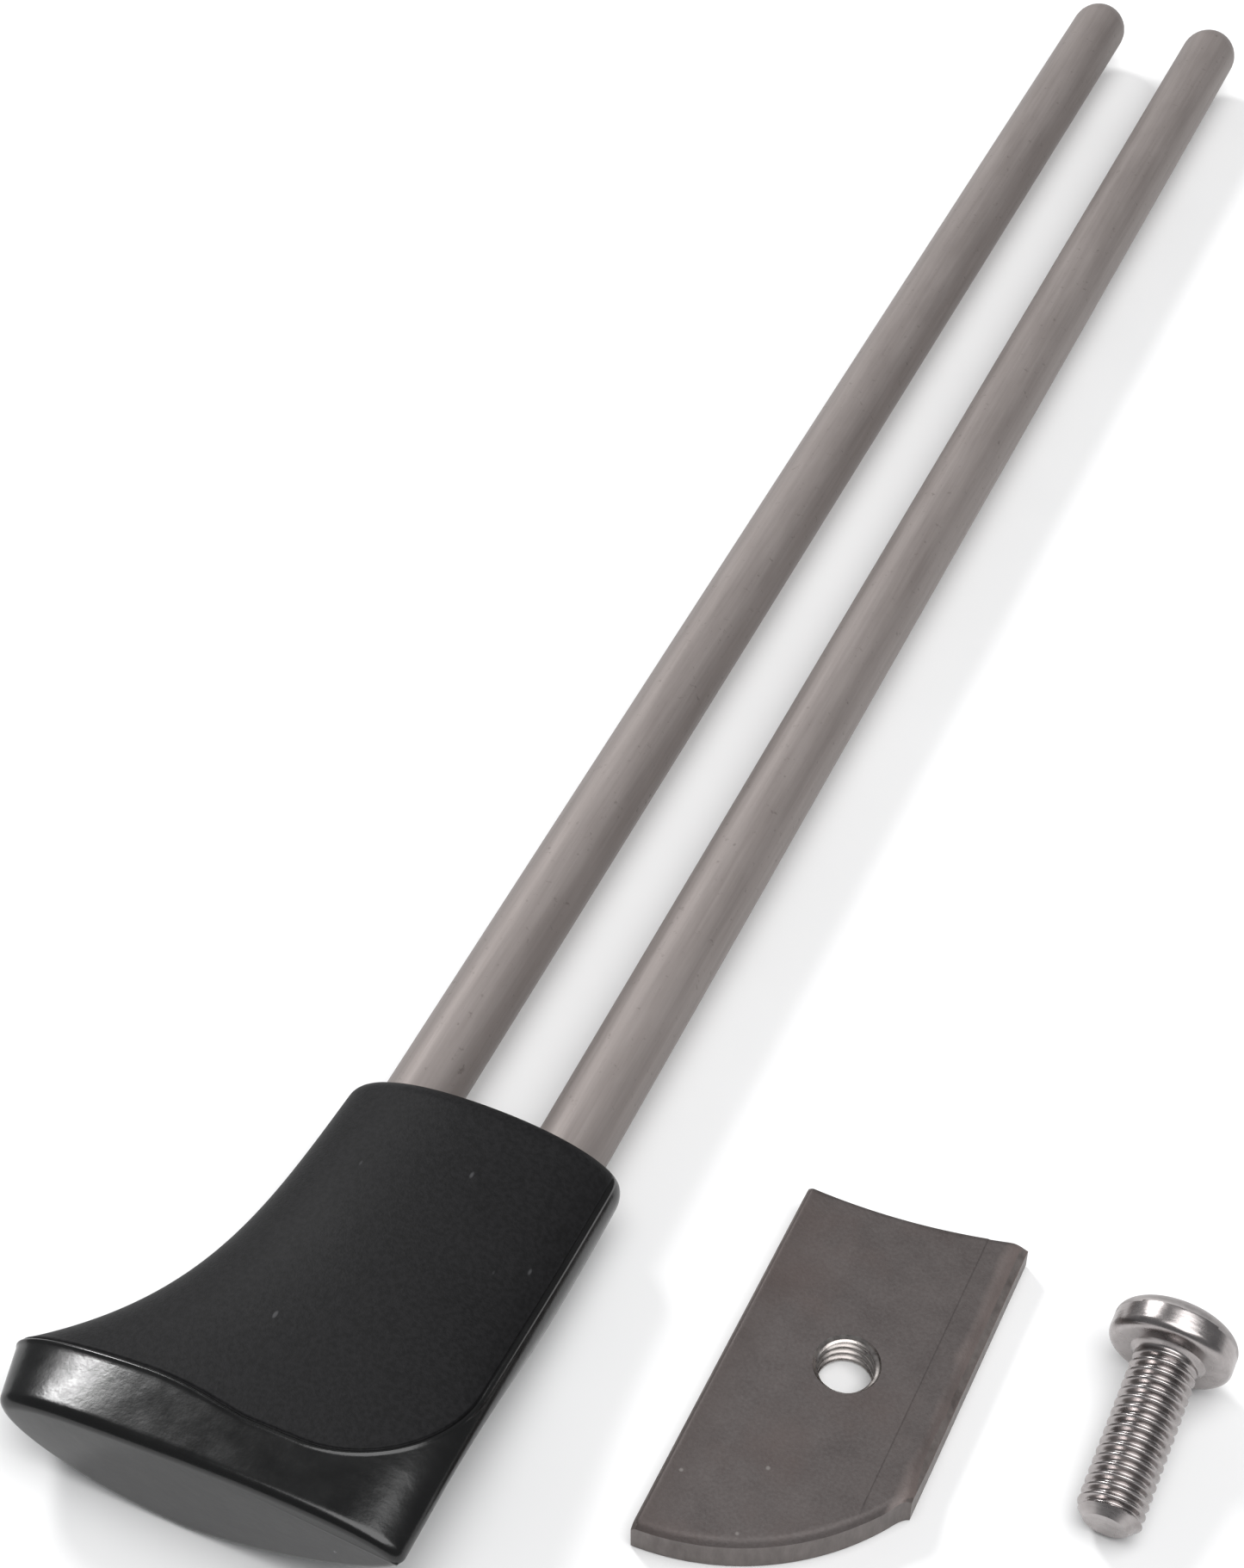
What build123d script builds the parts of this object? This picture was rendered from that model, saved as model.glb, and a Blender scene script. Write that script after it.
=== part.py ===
from build123d import *
import math
import os

# Algae scraper head kit, laid out flat: a moulded head with two rods, a clamp plate and its screw.
# Millimetres. X runs across the rods, Y along them towards their free ends, Z up from the surface.
# The origin is the centre of the whole layout's footprint, on the surface it lies on.

# --- rods ---
rod_r = 3.0
rod_pitch = 13.0
rod_length = 187.0
rod_insert = 14.0
rod_z = 5.0
groove_depth = 0.4
groove_width = 1.2
groove_gap = 5.0
groove_count = 3

# --- head: an oval at the rods' end that flares into a foot with a flat sole ---
head_length = 37.5
rim_length = 5.8
end_half_width = 11.5
end_round = 1.7
sole_round = 0.6
# the toe's side widens steadily, and the flare adds to it as a power of the distance
end_taper = 0.05
flare_reach = 9.9
flare_power = 3.9
toe_z = 5.2
# from the rim's back to the sole the toe draws in and rises, and the top sinks beside it
toe_draw_in = 2.2
toe_rise = 1.5
sole_dip = 1.0
# pairs give a value at the rods' end and at the rim
side_x = (11.95, 12.1)
side_z = (5.2, 8.4)
crown_x = (0.0, 2.0)
crown_z = (10.2, 10.9)
keel_x = (0.0, -5.9)
keel_z = 0.036
# how square each quarter of the section is: 2 is an ellipse
square_top_right = (2.1, 2.5)
square_top_left = (2.1, 2.2)
square_low_left = (2.1, 1.85)
square_low_right = (2.1, 1.38)
# the right flank's underside is cut away between these shares of the way to the rim
undercut_from = 0.42
undercut_to = 0.84
section_count = 8
quarter_steps = 6

# --- grip cover: the upper shell, over the rods, ending at the rim ---
split_z = rod_z
cover_right = 11.3
cover_corner_r = 9.6
# the front edge leaves the rim at the toe and waves forward to here beside the right corner
cover_front = 32.7
cover_wave_x = (-13.0, -2.0)
cover_reach = 40.0

# --- clamp plate, drawn about its tapped hole ---
plate_thick = 3.0
plate_left = -8.85
plate_right = 8.6
plate_top_left_y = 13.75
plate_top_right_y = 16.0
plate_top_r = 50.0
plate_heel_y = -19.0
plate_heel_r = 20.2
plate_horn = (7.5, -9.7)
plate_horn_tip_y = -8.5
plate_horn_r = 1.6
plate_bevel = 0.45
plate_bevel_height = 1.2
plate_edge_round = 0.5
plate_pos = (32.9, -6.2)
plate_turn = -0.7

# --- M5 thread, shared by the plate and the screw ---
thread_r = 2.5
thread_pitch = 0.8
thread_depth = 0.42
tapped_r = 2.1

# --- clamp screw: M5 x 14 pan head, lying on its head's rim and its tip ---
screw_length = 14.0
screw_head_r = 4.75
screw_head_height = 3.7
screw_skirt = 1.9
screw_rim_round = 0.6
screw_neck_r = 2.9
screw_neck = 0.4
screw_tip_chamfer = 0.8
screw_pos = (54.6, 3.2)
recess_depth = 2.0
recess_half_length = 2.4
recess_half_width = 0.55

rim_back = head_length - rim_length
rod_tip = rod_length - rod_insert
toe_x = -(end_half_width + end_taper * rim_back + flare_reach)

# the footprint's centre, which becomes the origin
low_x = toe_x
high_x = screw_pos[0] + screw_head_r
centre_x = (low_x + high_x) / 2
centre_y = (rod_tip - head_length) / 2


def between(pair, share):
    return pair[0] + (pair[1] - pair[0]) * share


def eased(value, start, end):
    """0 before start, 1 after end, and a smooth rise in between."""
    share = min(1.0, max(0.0, (value - start) / (end - start)))
    return share * share * (3 - 2 * share)


def left_edge(y):
    """The head's left side at y, which flares out to the toe."""
    past = min(rim_back, -y)
    return -(end_half_width + end_taper * past + flare_reach * (past / rim_back) ** flare_power)


def quarter(pole, end, square, from_end):
    """Points along a quarter of a superellipse between its pole (top or bottom) and its end."""
    points = []
    for step in range(quarter_steps + 1):
        angle = math.radians(90 * step / quarter_steps)
        across = math.cos(angle) ** (2 / square)
        up = math.sin(angle) ** (2 / square)
        x = pole[0] + (end[0] - pole[0]) * across
        z = end[1] + (pole[1] - end[1]) * up
        points.append((x, z))
    return points if from_end else points[::-1]


def dipped(points, depth):
    """The same points, sunk a little between their ends."""
    first, last = points[0][0], points[-1][0]
    sunk = []
    for x, z in points:
        along = (x - first) / (last - first)
        sunk.append((x, z - depth * math.sin(math.pi * along) ** 2))
    return sunk


def head_section(y):
    """The head's closed outline across the rods at y, as a top curve and a bottom curve."""
    share = min(1.0, -y / rim_back)
    late = share**3 * (4 - 3 * share)
    undercut = eased(share, undercut_from, undercut_to)
    over_rim = max(0.0, -y - rim_back) / rim_length
    toe = (left_edge(y) + toe_draw_in * over_rim, toe_z + toe_rise * over_rim)
    side = (between(side_x, share), between(side_z, late))
    crown = (between(crown_x, share), between(crown_z, share))
    keel = (between(keel_x, late), keel_z)
    top_left = quarter(crown, toe, between(square_top_left, share), True)
    top_right = quarter(crown, side, between(square_top_right, share), False)
    low_right = quarter(keel, side, between(square_low_right, undercut), True)
    low_left = quarter(keel, toe, between(square_low_left, share), False)
    top_points = [Vector(x, y, z) for x, z in dipped(top_left, sole_dip * over_rim) + top_right[1:]]
    low_points = [Vector(x, y, z) for x, z in low_right + low_left[1:]]
    top = Spline(*top_points)
    low = Spline(*low_points)
    return Wire([top.edge(), low.edge()])


def head_solid():
    stations = [-rim_back * i / (section_count - 1) for i in range(section_count)]
    shaft = Solid.make_loft([head_section(y) for y in stations])
    rim = Solid.make_loft([head_section(-rim_back), head_section(-head_length)], True)
    body = shaft + rim
    rod_end = body.faces().sort_by(Axis.Y)[-1]
    body = fillet(rod_end.edges(), end_round)
    sole = body.faces().sort_by(Axis.Y)[0]
    return fillet(sole.edges(), sole_round)


def cover_region():
    """The space the grip cover takes out of the head: above the split, up to a waved front edge."""
    far_left = (-cover_reach, cover_reach)
    far_right = (cover_right, cover_reach)
    front_left = (-cover_reach, -rim_back)
    wave_back = (cover_wave_x[0], -rim_back)
    wave_front = (cover_wave_x[1], -cover_front)
    corner_centre = (cover_right - cover_corner_r, cover_corner_r - cover_front)
    corner = CenterArc(corner_centre, cover_corner_r, -90, 90)
    outline = [
        Line(far_right, far_left),
        Line(far_left, front_left),
        Line(front_left, wave_back),
        Spline(wave_back, wave_front, tangents=[(1, 0), (1, 0)]),
        Line(wave_front, corner @ 0),
        corner,
        Line(corner @ 1, far_right),
    ]
    return Pos(0, 0, split_z) * extrude(make_face(outline), cover_reach)


def rod(side):
    """A straight rod with a domed free end and ring grooves that key it into the head."""
    dome_start = rod_tip - rod_r
    body = Cylinder(rod_r, dome_start + rod_insert, align=(Align.CENTER, Align.CENTER, Align.MIN))
    body += Pos(0, 0, dome_start + rod_insert) * Sphere(rod_r)
    ring = Cylinder(rod_r + 1, groove_width) - Cylinder(rod_r - groove_depth, groove_width)
    for i in range(groove_count):
        body -= Pos(0, 0, rod_insert - groove_width / 2 - i * groove_gap) * ring
    return Pos(side * rod_pitch / 2, -rod_insert, rod_z) * Rot(-90, 0, 0) * body


def plate_outline():
    """Left edge, hollow top arc, right edge, small horn, then the big heel arc."""
    heel_left = (plate_left, plate_heel_y)
    top_left = (plate_left, plate_top_left_y)
    top_right = (plate_right, plate_top_right_y)
    horn_tip = (plate_right, plate_horn_tip_y)
    left = Line(heel_left, top_left)
    top = RadiusArc(top_left, top_right, plate_top_r)
    right = Line(top_right, horn_tip)
    horn = RadiusArc(horn_tip, plate_horn, plate_horn_r)
    heel = RadiusArc(plate_horn, heel_left, plate_heel_r)
    return make_face([left, top, right, horn, heel])


def clamp_plate():
    plate = extrude(plate_outline(), plate_thick)
    upper = plate.edges().group_by(Axis.Z)[-1]
    right = upper.sort_by(Axis.X)[-1]
    plate = chamfer(right, plate_bevel, plate_bevel_height)
    upper = plate.edges().group_by(Axis.Z)[-1]
    plate = fillet(upper.filter_by(GeomType.LINE).sort_by(Axis.X)[0], plate_edge_round)
    plate -= Cylinder(tapped_r, 4 * plate_thick)
    return Pos(*plate_pos) * Rot(0, 0, plate_turn) * plate


def clamp_screw():
    root = thread_r - thread_depth
    turns = int((screw_length - screw_tip_chamfer - screw_neck) / thread_pitch)
    outline = [(0, -screw_length), (thread_r - screw_tip_chamfer, -screw_length)]
    for i in range(turns):
        z = -screw_length + screw_tip_chamfer + i * thread_pitch
        outline.append((thread_r, z))
        outline.append((root, z + thread_pitch / 2))
    outline.append((thread_r, -screw_neck))
    outline.append((screw_neck_r, 0))
    outline.append((screw_head_r, 0))
    outline.append((screw_head_r, screw_skirt))
    lower = Polyline(*outline)
    crown_rise = screw_head_height - screw_skirt
    crown = EllipticalCenterArc((0, screw_skirt), screw_head_r, crown_rise, 0, arc_size=90)
    axis = Line((0, screw_head_height), (0, -screw_length))
    half = make_face([*lower.edges(), crown.edge(), axis.edge()])
    screw = revolve(Plane.XZ * half, Axis.Z)
    circles = screw.edges().filter_by(GeomType.CIRCLE)
    rim = circles.filter_by(lambda e: abs(e.radius - screw_head_r) < 0.01)
    screw = fillet(rim.sort_by(Axis.Z)[0], screw_rim_round)
    slot = Box(2 * recess_half_length, 2 * recess_half_width, 2 * recess_depth)
    cross = slot + Rot(0, 0, 90) * slot
    return screw - Pos(0, 0, screw_head_height) * cross


def lay_down(screw):
    """Tip the screw over until its head's rim and its last thread both touch the surface."""
    rim_z = screw_rim_round
    tip_z = -screw_length + screw_tip_chamfer
    lean = math.degrees(math.asin((screw_head_r - thread_r) / (rim_z - tip_z)))
    lying = Rot(-90 + lean, 0, 0) * screw
    low = lying.bounding_box().min.Z
    return Pos(screw_pos[0], screw_pos[1], -low) * lying


def build():
    rods = {"rod_left": rod(-1), "rod_right": rod(1)}
    head = head_solid()
    region = cover_region()
    core = head - region
    cover = head & region
    for one in rods.values():
        core -= one
        cover -= one
    parts = {"foot_core": core, "grip_cover": cover}
    parts.update(rods)
    parts["clamp_plate"] = clamp_plate()
    parts["clamp_screw"] = lay_down(clamp_screw())
    return parts


os.makedirs("parts", exist_ok=True)
for name, shape in build().items():
    placed = Pos(-centre_x, -centre_y, 0) * shape
    export_step(placed, f"parts/{name}.step")
    box = placed.bounding_box()
    print(name, len(placed.solids()), round(placed.volume, 1), box.min, box.max)
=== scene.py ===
import bmesh
import bpy
import math
import numpy as np
from mathutils import Matrix, Vector
from mathutils.kdtree import KDTree


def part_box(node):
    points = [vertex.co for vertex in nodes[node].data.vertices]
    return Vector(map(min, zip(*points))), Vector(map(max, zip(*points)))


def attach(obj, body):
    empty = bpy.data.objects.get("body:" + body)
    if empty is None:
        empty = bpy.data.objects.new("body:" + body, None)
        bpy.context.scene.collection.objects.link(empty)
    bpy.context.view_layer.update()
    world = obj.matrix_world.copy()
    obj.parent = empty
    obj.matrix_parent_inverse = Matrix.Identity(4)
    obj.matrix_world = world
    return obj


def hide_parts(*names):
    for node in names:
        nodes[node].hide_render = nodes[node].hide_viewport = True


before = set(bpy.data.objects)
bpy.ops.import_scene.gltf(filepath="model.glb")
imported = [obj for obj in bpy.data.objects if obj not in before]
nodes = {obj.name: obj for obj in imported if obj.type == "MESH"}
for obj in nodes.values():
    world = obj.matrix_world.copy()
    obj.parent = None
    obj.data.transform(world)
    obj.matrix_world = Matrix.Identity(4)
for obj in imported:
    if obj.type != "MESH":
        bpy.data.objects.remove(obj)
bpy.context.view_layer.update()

MM = 0.001

# The head is drawn in millimetres about the point midway between the rods, in the plane of its rod end.
rod_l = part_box("rod_left")
rod_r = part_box("rod_right")
MID_X = (rod_l[0].x + rod_r[1].x) / 2
END_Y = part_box("grip_cover")[1].y


# ---------------------------------------------------------------- mesh helpers

def make_object(name, verts, faces):
    mesh = bpy.data.meshes.new(name)
    mesh.from_pydata([tuple(v) for v in verts], [], faces)
    mesh.validate()
    obj = bpy.data.objects.new(name, mesh)
    bpy.context.scene.collection.objects.link(obj)
    bm = bmesh.new()
    bm.from_mesh(mesh)
    bmesh.ops.remove_doubles(bm, verts=bm.verts, dist=1e-7)
    bmesh.ops.recalc_face_normals(bm, faces=bm.faces)
    bm.to_mesh(mesh)
    bm.free()
    mesh.polygons.foreach_set("use_smooth", [True] * len(mesh.polygons))
    mesh.update()
    return obj


def mark_sharp(obj, degrees):
    """Keeps real corners crisp while the rest is shaded smooth."""
    bm = bmesh.new()
    bm.from_mesh(obj.data)
    limit = math.radians(degrees)
    for e in bm.edges:
        if len(e.link_faces) == 2 and e.calc_face_angle(0.0) > limit:
            e.smooth = False
    bm.to_mesh(obj.data)
    bm.free()


def cut_away(obj, cutter):
    mod = obj.modifiers.new("cut", "BOOLEAN")
    mod.operation = "DIFFERENCE"
    mod.solver = "EXACT"
    mod.object = cutter
    bpy.context.view_layer.update()
    graph = bpy.context.evaluated_depsgraph_get()
    made = bpy.data.meshes.new_from_object(obj.evaluated_get(graph))
    obj.modifiers.remove(mod)
    old = obj.data
    obj.data = made
    bpy.data.meshes.remove(old)


def remove(obj):
    mesh = obj.data
    bpy.data.objects.remove(obj)
    bpy.data.meshes.remove(mesh)


def grid_faces(index):
    """Quads over a 2-D array of vertex numbers."""
    faces = []
    rows, cols = index.shape
    for i in range(rows - 1):
        for j in range(cols - 1):
            quad = [int(index[i, j]), int(index[i, j + 1]), int(index[i + 1, j + 1]), int(index[i + 1, j])]
            faces.append(quad)
    return faces


# ---------------------------------------------------------------- the head

# the SIDE, CROWN, KEEL and SQ pairs give a value at the rods' end and at the rim
HEAD_LEN = 37.5
RIM_LEN = 5.8
RIM_BACK = HEAD_LEN - RIM_LEN
END_HALF = 11.5
END_TAPER = 0.05
FLARE_REACH = 9.9
FLARE_POWER = 3.9
SIDE_X = (11.95, 12.1)
SIDE_Z = (5.2, 8.4)
TOE_Z = 5.2
TOE_DRAW_IN = 2.2
TOE_RISE = 1.5
SOLE_DIP = 0.3
CROWN_X = (0.0, 2.0)
CROWN_Z = (10.2, 10.9)
KEEL_X = (0.0, -5.9)
KEEL_Z = 0.036
# how square each quarter of the section is (top or low, left or right); 2 is an ellipse
SQ_TR = (2.1, 2.5)
SQ_TL = (2.1, 2.2)
SQ_LL = (2.1, 1.85)
SQ_LR = (2.1, 1.38)
SPLIT_Z = 5.0
COVER_RIGHT = 11.3
COVER_R = 9.6
COVER_FRONT = 32.7
# the seam waves forward between these, from the toe's side to the middle
COVER_WAVE_X = (-13.0, -2.0)
# the right flank's underside is cut away between these shares of the way to the rim
UNDERCUT = (0.42, 0.84)
END_ROUND = 1.7
# the rod end is rounder on the toe's side than on the straight side:
# the share of the rounding at the middle, and its fall from there to the straight side
END_SHARE = 0.76
END_SHARE_FALL = 0.24
SOLE_ROUND = 0.85
# the seam: its groove, the bead the core raises beside it, and how far the cover lies below the core
SEAM_DEPTH = 0.16
SEAM_WIDTH = 0.11
BEAD_HEIGHT = 0.07
BEAD_FROM_SEAM = 0.30
BEAD_WIDTH = 0.14
COVER_SINK = 0.07
COVER_SINK_REACH = 0.25
# how far along the rods the seam's wave fades in
WAVE_REACH = 9.0
# steps in each quarter of a section
DENSE = 160


def between(pair, share):
    return pair[0] + (pair[1] - pair[0]) * share


def smooth(v, a, b):
    t = min(1.0, max(0.0, (v - a) / (b - a)))
    return t * t * (3 - 2 * t)


def left_edge(y):
    past = min(max(0.0, -y), RIM_BACK)
    return -(END_HALF + END_TAPER * past + FLARE_REACH * (past / RIM_BACK) ** FLARE_POWER)


def dense_loop(y):
    """The head's section at y as a dense closed outline: keel, toe, crown, side, and back to the keel."""
    share = min(1.0, max(0.0, -y / RIM_BACK))
    late = share**3 * (4 - 3 * share)
    undercut = smooth(share, *UNDERCUT)
    over_rim = max(0.0, -y - RIM_BACK) / RIM_LEN
    toe = (left_edge(y) + TOE_DRAW_IN * over_rim, TOE_Z + TOE_RISE * over_rim)
    side = (between(SIDE_X, share), between(SIDE_Z, late))
    crown = (between(CROWN_X, share), between(CROWN_Z, share))
    keel = (between(KEEL_X, late), KEEL_Z)
    a = np.linspace(0, math.pi / 2, DENSE + 1)
    out = []
    # a quarter is drawn from its end to its pole, and flip turns it round
    for pole, end, square, flip in (
        (keel, toe, between(SQ_LL, share), True),
        (crown, toe, between(SQ_TL, share), False),
        (crown, side, between(SQ_TR, share), True),
        (keel, side, between(SQ_LR, undercut), False),
    ):
        across = np.cos(a) ** (2 / square)
        up = np.sin(a) ** (2 / square)
        x = pole[0] + (end[0] - pole[0]) * across
        z = end[1] + (pole[1] - end[1]) * up
        x[-1], z[-1] = pole
        x[0], z[0] = end
        if pole is crown and end is toe:
            z = z - SOLE_DIP * over_rim * np.sin(math.pi * (x - end[0]) / (pole[0] - end[0])) ** 2
        part = np.column_stack([x, z])
        if flip:
            part = part[::-1]
        out.append(part[:-1])
    loop = np.vstack(out)
    return np.vstack([loop, loop[:1]])


def arc_lengths(loop):
    return np.concatenate([[0.0], np.cumsum(np.hypot(*(np.diff(loop, axis=0).T)))])


def loop_normals(y, loop):
    """Outward normals of the head's surface along a dense section."""
    step = 0.15
    lo = dense_loop(max(y - step, -HEAD_LEN))
    hi = dense_loop(min(y + step, 0.0))
    span = min(y + step, 0.0) - max(y - step, -HEAD_LEN)
    n = len(loop) - 1
    prev = loop[np.arange(-1, n) % n]
    nxt = loop[np.arange(1, n + 2) % n]
    t = nxt - prev
    d = (hi - lo) / span
    # along the section (x, 0, z) and along the rods (dx, 1, dz); the section runs toe, crown, side
    sec = np.column_stack([t[:, 0], np.zeros(n + 1), t[:, 1]])
    rod = np.column_stack([d[:, 0], np.ones(n + 1), d[:, 1]])
    normal = np.cross(sec, rod)
    normal /= np.linalg.norm(normal, axis=1)[:, None]
    return normal


def cover_edge_x(y):
    past = max(0.0, -y - (COVER_FRONT - COVER_R))
    past = min(past, COVER_R)
    return COVER_RIGHT - COVER_R + math.sqrt(COVER_R**2 - past**2)


def cross_at_x(loop, s, x):
    """Arc length where the top right quarter passes x."""
    part = slice(2 * DENSE, 3 * DENSE + 1)
    return float(np.interp(x, loop[part, 0], s[part]))


def cross_at_z(loop, s, z):
    """Arc length where the lower left quarter rises past z."""
    part = slice(0, DENSE + 1)
    return float(np.interp(z, loop[part, 1], s[part]))


def head_rows():
    """Places along the rods, from the rod end to the sole, close together at every edge."""
    end = [END_ROUND * (1 - math.cos(a)) for a in np.linspace(0, math.pi / 2, 9)]
    ys = [-v for v in end]
    corner_y = COVER_FRONT - COVER_R
    ys += list(-np.linspace(END_ROUND, corner_y, 64)[1:])
    ys += [-(corner_y + COVER_R * math.sin(a)) for a in np.radians(np.linspace(0, 90, 41)[1:])]
    cover_rows = len(ys)
    lip = [0.03, 0.07, 0.12, 0.18, 0.25, 0.33, 0.42, 0.55, 0.75, 1.0]
    ys += [-(COVER_FRONT + v) for v in lip]
    ys += list(-np.linspace(COVER_FRONT + 1.0, HEAD_LEN - SOLE_ROUND, 16)[1:])
    ys += [-(HEAD_LEN - SOLE_ROUND + SOLE_ROUND * math.sin(a)) for a in np.linspace(0, math.pi / 2, 9)[1:]]
    return ys, cover_rows


def inset_at(y):
    """How far the section shrinks to round off the rod end and the sole's edge."""
    if y > -END_ROUND:
        u = END_ROUND + y
        return END_ROUND - math.sqrt(max(0.0, END_ROUND**2 - u**2))
    if y < -(HEAD_LEN - SOLE_ROUND):
        u = -y - (HEAD_LEN - SOLE_ROUND)
        return SOLE_ROUND - math.sqrt(max(0.0, SOLE_ROUND**2 - u**2))
    return 0.0


def room_inside(points, normals):
    """The largest circle that fits inside the outline and touches it at each point, as a radius."""
    best = np.full(len(points), 50.0)
    for i in range(0, len(points), 200):
        q = points[None, :, :] - points[i : i + 200, None, :]
        dot = -(q * normals[i : i + 200, None, :]).sum(-1)
        size = (q**2).sum(-1)
        r = np.where(dot > 1e-6, size / (2 * np.maximum(dot, 1e-6)), 50.0)
        r[size < 1e-9] = 50.0
        best[i : i + 200] = r.min(axis=1)
    return best


N_TOP = 190
N_LOW = 250


def spread(count, k, dense_end):
    """Shares from 0 to 1, close together at the start, or at the end if asked."""
    u = np.linspace(0, 1, count + 1)
    t = (np.exp(k * u) - 1) / (math.exp(k) - 1)
    return 1 - t[::-1] if dense_end else t


def wave_rows(ys, rows, norms):
    """Slides the toe's share of the seam back along the surface, to where the flare ends."""
    along = -np.array(ys)
    rise = np.clip((along - (COVER_FRONT - WAVE_REACH)) / WAVE_REACH, 0, 1)
    fall = np.clip((along - COVER_FRONT) / (HEAD_LEN - SOLE_ROUND - COVER_FRONT), 0, 1)
    weight = rise**2 * (3 - 2 * rise) * (1 - fall**2 * (3 - 2 * fall))
    for j in range(rows.shape[1]):
        t = np.clip((rows[:, j, 0] - COVER_WAVE_X[0]) / (COVER_WAVE_X[1] - COVER_WAVE_X[0]), 0, 1)
        moved = along - (COVER_FRONT - RIM_BACK) * (1 - t * t * (3 - 2 * t)) * weight
        for k in (0, 2):
            rows[:, j, k] = np.interp(moved, along, rows[:, j, k])
        rows[:, j, 1] = -moved
        for k in range(3):
            norms[:, j, k] = np.interp(moved, along, norms[:, j, k])
    norms /= np.linalg.norm(norms, axis=2)[:, :, None]
    return rows, norms


def build_head():
    ys, cover_rows = head_rows()
    top_t = spread(N_TOP, 2.0, True)
    low_t = spread(N_LOW, 2.0, False)
    rows = []
    norms = []
    for y in ys:
        loop = dense_loop(y)
        s = arc_lengths(loop)
        total = s[-1]
        nrm = loop_normals(y, loop)
        start = cross_at_z(loop, s, SPLIT_Z)
        cut = cross_at_x(loop, s, cover_edge_x(y))
        top_s = start + (cut - start) * top_t
        low_s = cut + (total + start - cut) * low_t[1:-1]
        at = np.concatenate([top_s, low_s]) % total
        pts = np.column_stack([np.interp(at, s, loop[:, 0]), np.interp(at, s, loop[:, 1])])
        ns = np.column_stack([np.interp(at, s, nrm[:, k]) for k in range(3)])
        ns /= np.linalg.norm(ns, axis=1)[:, None]
        d = inset_at(y)
        if d > 0:
            flat = ns[:, [0, 2]]
            flat = flat / np.linalg.norm(flat, axis=1)[:, None]
            room = room_inside(pts, flat)
            share = 1.0
            if y > -END_ROUND:
                share = END_SHARE - END_SHARE_FALL * pts[:, 0] / SIDE_X[0]
            pts = pts - flat * np.minimum(d * share, 0.75 * room)[:, None]
        rows.append(np.column_stack([pts[:, 0], np.full(len(pts), y), pts[:, 1]]))
        norms.append(ns)
    rows, norms = wave_rows(ys, np.array(rows), np.array(norms))
    edge = [rows[i, N_TOP] for i in range(cover_rows)]
    last = cover_rows - 1
    # the seam: right flank, corner and front edge, then back along the split on the left
    seam = edge + [rows[last, j] for j in range(N_TOP - 1, -1, -1)]
    seam += [rows[i, 0] for i in range(last - 1, 3, -1)]
    seam = np.array(seam)
    length = arc_lengths3(seam)
    count = int(length[-1] / 0.04)
    at = np.linspace(0, length[-1], count)
    fine = np.column_stack([np.interp(at, length, seam[:, k]) for k in range(3)])
    tree = KDTree(len(fine))
    for k, p in enumerate(fine):
        tree.insert(p, k)
    tree.balance()
    near = np.array([tree.find(p)[2] for p in rows.reshape(-1, 3)]).reshape(rows.shape[:2])
    groove = np.exp(-((near / SEAM_WIDTH) ** 2))
    is_cover = np.zeros(rows.shape[:2], bool)
    is_cover[:cover_rows, : N_TOP + 1] = True
    bead = np.exp(-(((near - BEAD_FROM_SEAM) / BEAD_WIDTH) ** 2))
    sink = -COVER_SINK * (1 - np.exp(-near / COVER_SINK_REACH))
    lift = -SEAM_DEPTH * groove + np.where(is_cover, sink, BEAD_HEIGHT * bead)
    fade = np.ones(len(ys))
    for i, y in enumerate(ys):
        if y > -END_ROUND:
            fade[i] = max(0.0, -y / END_ROUND)
        if y < -(HEAD_LEN - SOLE_ROUND):
            fade[i] = 0.0
    lift = lift * fade[:, None]
    rows = rows + norms * lift[:, :, None]
    return rows, cover_rows


def arc_lengths3(points):
    return np.concatenate([[0.0], np.cumsum(np.linalg.norm(np.diff(points, axis=0), axis=1))])


def place_head(points):
    """Head millimetres to the row frame's metres."""
    p = np.array(points, float) * MM
    p[:, 0] += MID_X
    p[:, 1] += END_Y
    return p


def close_over_split(verts, faces, loop):
    """Walls from an open edge loop straight to the split plane, and the flat face there."""
    down = []
    for v in loop:
        x, y, z = verts[v]
        if abs(z - SPLIT_Z) < 1e-6:
            down.append(v)
        else:
            verts.append((x, y, SPLIT_Z))
            down.append(len(verts) - 1)
    n = len(loop)
    for k in range(n):
        a, b = loop[k], loop[(k + 1) % n]
        c, d = down[(k + 1) % n], down[k]
        corners = []
        for v in (a, b, c, d):
            if v not in corners:
                corners.append(v)
        if len(corners) >= 3:
            faces.append(corners)
    faces.append(down)


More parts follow.
